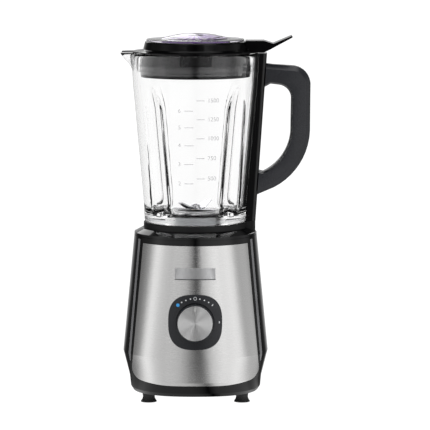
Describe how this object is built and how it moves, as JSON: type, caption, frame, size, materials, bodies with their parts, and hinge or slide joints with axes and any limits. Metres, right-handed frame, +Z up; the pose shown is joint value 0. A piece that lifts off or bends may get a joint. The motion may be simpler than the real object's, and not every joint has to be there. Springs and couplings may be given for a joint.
{
  "type": "countertop blender",
  "caption": "Tapered steel-fronted motor base with a dial, carrying a ribbed glass jug with a looped black handle, blades, and a lid with a clear filler cap.",
  "frame": {"origin": "on the plane the feet stand on, in the middle of the whole outline, handle and spout counted; the motor axis is 23 mm towards the spout from it and 6 mm towards the rear", "axes": "+Z up, -Y towards the front with the dial, +X towards the handle"},
  "size_m": [0.2241, 0.1764, 0.4296],
  "materials": {
    "gloss_black": "gloss",
    "satin_black": "satin",
    "matte_black": "matte",
    "brushed_steel": "brushed",
    "satin_trim": "satin",
    "badge_metal": "satin",
    "black_rubber": "matte",
    "screw_steel": "plated",
    "spring_steel": "bright",
    "bearing_steel": "ground",
    "switch_plastic": "matte",
    "mark_print": "printed",
    "blue_lens": "lit",
    "board_green": "board",
    "lamination_steel": "varnished",
    "copper_winding": "enamelled",
    "commutator_copper": "turned",
    "cast_aluminium": "cast",
    "brass": "satin",
    "carbon": "graphite",
    "coupler_rubber": "moulded",
    "spun_aluminium": "spun",
    "pointer_white": "printed",
    "jug_glass": "clear",
    "seal_silicone": "translucent",
    "seal_silicone_black": "satin",
    "blade_steel": "ground",
    "cap_plastic": "clear, faint lilac tint",
    "cap_silicone": "lilac"
  },
  "bodies": {
    "base": {"base_housing": "gloss_black", "front_panel": "brushed_steel", "side_trims": "satin_trim", "nameplate": "badge_metal", "bottom_cover": "matte_black", "base_feet": "black_rubber", "base_screws": "screw_steel", "cord_gland": "black_rubber", "top_cover": "gloss_black", "plunger_guide": "matte_black", "interlock_spring": "spring_steel", "micro_switch": "switch_plastic", "dial_bezel": "satin_black", "dial_marks": "mark_print", "indicator_light": "blue_lens", "rotary_switch": "switch_plastic", "control_board": "board_green", "board_parts": "switch_plastic", "board_pillars": "matte_black", "stator_core": "lamination_steel", "field_coils": "copper_winding", "motor_low_bracket": "cast_aluminium", "motor_high_bracket": "cast_aluminium", "lower_bearing": "bearing_steel", "upper_bearing": "bearing_steel", "motor_tie_screws": "screw_steel", "motor_grommets": "black_rubber", "motor_screws": "screw_steel", "brush_holders": "brass", "carbon_brushes": "carbon", "brush_springs": "spring_steel"},
    "rotor": {"motor_shaft": "bearing_steel", "armature_core": "lamination_steel", "armature_windings": "copper_winding", "commutator": "commutator_copper", "cooling_fan": "matte_black", "drive_coupler": "coupler_rubber"},
    "knob": {"knob_body": "satin_black", "knob_face": "spun_aluminium", "knob_pointer": "pointer_white", "switch_shaft": "bearing_steel"},
    "plunger": {"interlock_plunger": "matte_black"},
    "jug": {"glass_jug": "jug_glass", "jug_collar": "matte_black", "jug_seal": "seal_silicone", "handle_strap": "gloss_black", "jug_handle": "satin_black", "handle_screws": "screw_steel", "blade_carrier": "matte_black", "blade_bearing": "brass"},
    "blades": {"blade_shaft": "bearing_steel", "lower_blade": "blade_steel", "upper_blade": "blade_steel", "blade_nut": "blade_steel", "driven_coupler": "coupler_rubber"},
    "lid": {"lid_body": "gloss_black", "lid_seal": "seal_silicone_black"},
    "cap": {"filler_cap": "cap_plastic", "cap_seal": "cap_silicone"}
  },
  "joints": [
    {"name": "motor_spin", "type": "hinge", "parent": "base", "child": "rotor", "pos_m": [-0.023, 0.006, 0.1022], "axis": [0, 0, 1], "continuous": true},
    {"name": "knob_turn", "type": "hinge", "parent": "base", "child": "knob", "pos_m": [-0.023, -0.07089, 0.0981], "axis": [0, -0.9988, 0.0496], "range_deg": [-90, 42]},
    {"name": "jug_lift", "type": "slide", "parent": "base", "child": "jug", "axis": [0, 0, 1], "range_m": [0, 0.06]},
    {"name": "interlock_travel", "type": "slide", "parent": "base", "child": "plunger", "axis": [0, 0, 1], "range_m": [0, 0.0024], "deforming": ["interlock_spring"]},
    {"name": "blade_spin", "type": "hinge", "parent": "jug", "child": "blades", "pos_m": [-0.023, 0.006, 0.2122], "axis": [0, 0, 1], "continuous": true},
    {"name": "lid_lift", "type": "slide", "parent": "jug", "child": "lid", "axis": [0, 0, 1], "range_m": [0, 0.06]},
    {"name": "cap_lift", "type": "slide", "parent": "lid", "child": "cap", "axis": [0, 0, 1], "range_m": [0, 0.04]}
  ],
  "couplings": [
    {"joint": "interlock_travel", "follows": "jug_lift", "ratio": 0.04},
    {"joint": "blade_spin", "follows": "motor_spin", "ratio": 1}
  ]
}
